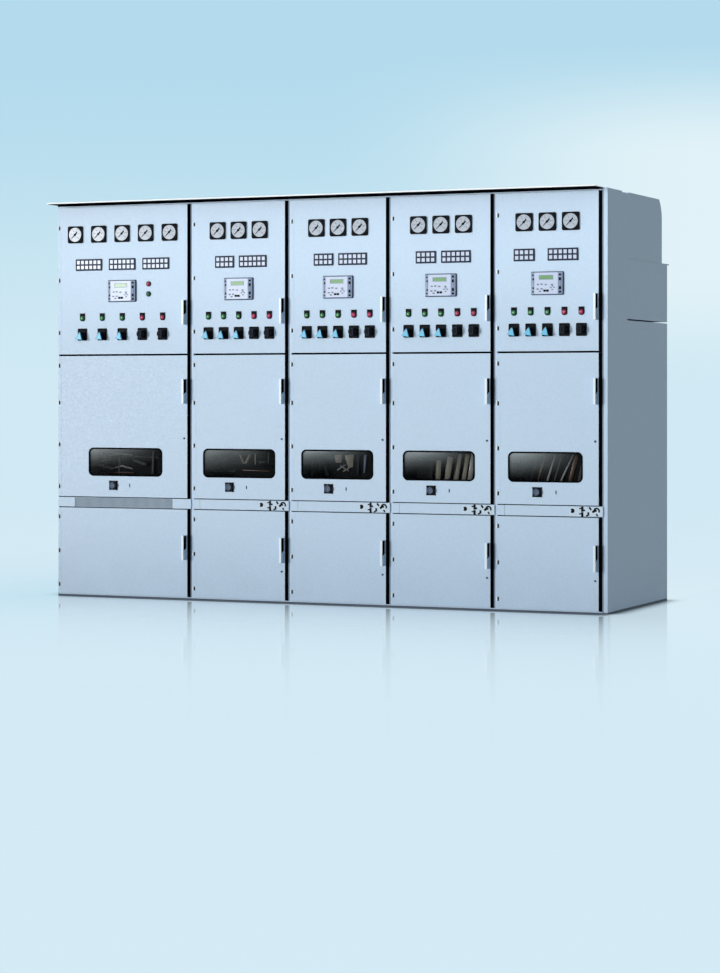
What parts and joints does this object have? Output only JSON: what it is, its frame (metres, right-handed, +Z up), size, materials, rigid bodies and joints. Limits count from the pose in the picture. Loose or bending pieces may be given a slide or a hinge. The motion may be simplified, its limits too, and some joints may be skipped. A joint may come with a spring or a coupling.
{
  "type": "marine metal-clad switchgear",
  "caption": "Free-standing row of painted steel switchgear cubicles with hinged doors, panel meters, annunciators, controllers, cam switches, viewing windows and a drip canopy.",
  "frame": {"origin": "middle of the base, on the floor", "axes": "+Z up, -Y the way the doors face, +X along the row to the right seen from the front"},
  "size_m": [3.2756, 1.216, 2.221],
  "materials": {
    "paint": "fine textured powder coat, satin",
    "interlock_plate": "thin engraved plate",
    "hinge_steel": "blackened pins",
    "grille": "perforated sheet",
    "breaker": "satin grey",
    "black_plastic": "satin moulding",
    "grey_plastic": "satin moulding",
    "window_pane": "clear polycarbonate over a dark room"
  },
  "bodies": {
    "cubicles": {"base_frame": "paint", "front_posts": "paint", "frame_hinges": "hinge_steel", "door_frames": "paint", "crossbands": "paint", "vent_grille": "grille", "interlock_plates": "interlock_plate", "partitions": "paint", "shelves": "paint", "rear_barriers": "paint", "left_end_cover": "paint", "right_end_cover": "paint", "rear_covers": "paint", "busbar_chamber": "paint", "rear_duct": "paint", "roof_plates": "paint", "drip_canopy": "paint", "breaker_trucks": "breaker"},
    "upper_door_1": {"upper_door_1": "paint", "instruments_1": "black_plastic", "lamps_and_switches_1": "black_plastic"},
    "upper_door_2": {"upper_door_2": "paint", "instruments_2": "black_plastic", "lamps_and_switches_2": "black_plastic"},
    "upper_door_3": {"upper_door_3": "paint", "instruments_3": "black_plastic", "lamps_and_switches_3": "black_plastic"},
    "upper_door_4": {"upper_door_4": "paint", "instruments_4": "black_plastic", "lamps_and_switches_4": "black_plastic"},
    "upper_door_5": {"upper_door_5": "paint", "instruments_5": "black_plastic", "lamps_and_switches_5": "black_plastic"},
    "middle_door_1": {"middle_door_1": "paint", "window_1": "window_pane"},
    "middle_door_2": {"middle_door_2": "paint", "window_2": "window_pane"},
    "middle_door_3": {"middle_door_3": "paint", "window_3": "window_pane"},
    "middle_door_4": {"middle_door_4": "paint", "window_4": "window_pane"},
    "middle_door_5": {"middle_door_5": "paint", "window_5": "window_pane"},
    "lower_door_1": {"lower_door_1": "paint"},
    "lower_door_2": {"lower_door_2": "paint"},
    "lower_door_3": {"lower_door_3": "paint"},
    "lower_door_4": {"lower_door_4": "paint"},
    "lower_door_5": {"lower_door_5": "paint"}
  },
  "joints": [
    {"name": "upper_door_1_hinge", "type": "hinge", "parent": "cubicles", "child": "upper_door_1", "pos_m": [-1.6313, -0.488, 1.783], "axis": [0, 0, -1], "range_deg": [0, 105]},
    {"name": "upper_door_2_hinge", "type": "hinge", "parent": "cubicles", "child": "upper_door_2", "pos_m": [-0.7713, -0.488, 1.783], "axis": [0, 0, -1], "range_deg": [0, 105]},
    {"name": "upper_door_3_hinge", "type": "hinge", "parent": "cubicles", "child": "upper_door_3", "pos_m": [-0.1713, -0.488, 1.783], "axis": [0, 0, -1], "range_deg": [0, 105]},
    {"name": "upper_door_4_hinge", "type": "hinge", "parent": "cubicles", "child": "upper_door_4", "pos_m": [0.4287, -0.488, 1.783], "axis": [0, 0, -1], "range_deg": [0, 105]},
    {"name": "upper_door_5_hinge", "type": "hinge", "parent": "cubicles", "child": "upper_door_5", "pos_m": [1.0287, -0.488, 1.783], "axis": [0, 0, -1], "range_deg": [0, 105]},
    {"name": "middle_door_1_hinge", "type": "hinge", "parent": "cubicles", "child": "middle_door_1", "pos_m": [-1.6313, -0.488, 0.96], "axis": [0, 0, -1], "range_deg": [0, 105]},
    {"name": "middle_door_2_hinge", "type": "hinge", "parent": "cubicles", "child": "middle_door_2", "pos_m": [-0.7713, -0.488, 0.96], "axis": [0, 0, -1], "range_deg": [0, 105]},
    {"name": "middle_door_3_hinge", "type": "hinge", "parent": "cubicles", "child": "middle_door_3", "pos_m": [-0.1713, -0.488, 0.96], "axis": [0, 0, -1], "range_deg": [0, 105]},
    {"name": "middle_door_4_hinge", "type": "hinge", "parent": "cubicles", "child": "middle_door_4", "pos_m": [0.4287, -0.488, 0.96], "axis": [0, 0, -1], "range_deg": [0, 105]},
    {"name": "middle_door_5_hinge", "type": "hinge", "parent": "cubicles", "child": "middle_door_5", "pos_m": [1.0287, -0.488, 0.96], "axis": [0, 0, -1], "range_deg": [0, 105]},
    {"name": "lower_door_1_hinge", "type": "hinge", "parent": "cubicles", "child": "lower_door_1", "pos_m": [-1.6313, -0.488, 0.256], "axis": [0, 0, -1], "range_deg": [0, 105]},
    {"name": "lower_door_2_hinge", "type": "hinge", "parent": "cubicles", "child": "lower_door_2", "pos_m": [-0.7713, -0.488, 0.256], "axis": [0, 0, -1], "range_deg": [0, 105]},
    {"name": "lower_door_3_hinge", "type": "hinge", "parent": "cubicles", "child": "lower_door_3", "pos_m": [-0.1713, -0.488, 0.256], "axis": [0, 0, -1], "range_deg": [0, 105]},
    {"name": "lower_door_4_hinge", "type": "hinge", "parent": "cubicles", "child": "lower_door_4", "pos_m": [0.4287, -0.488, 0.256], "axis": [0, 0, -1], "range_deg": [0, 105]},
    {"name": "lower_door_5_hinge", "type": "hinge", "parent": "cubicles", "child": "lower_door_5", "pos_m": [1.0287, -0.488, 0.256], "axis": [0, 0, -1], "range_deg": [0, 105]}
  ]
}
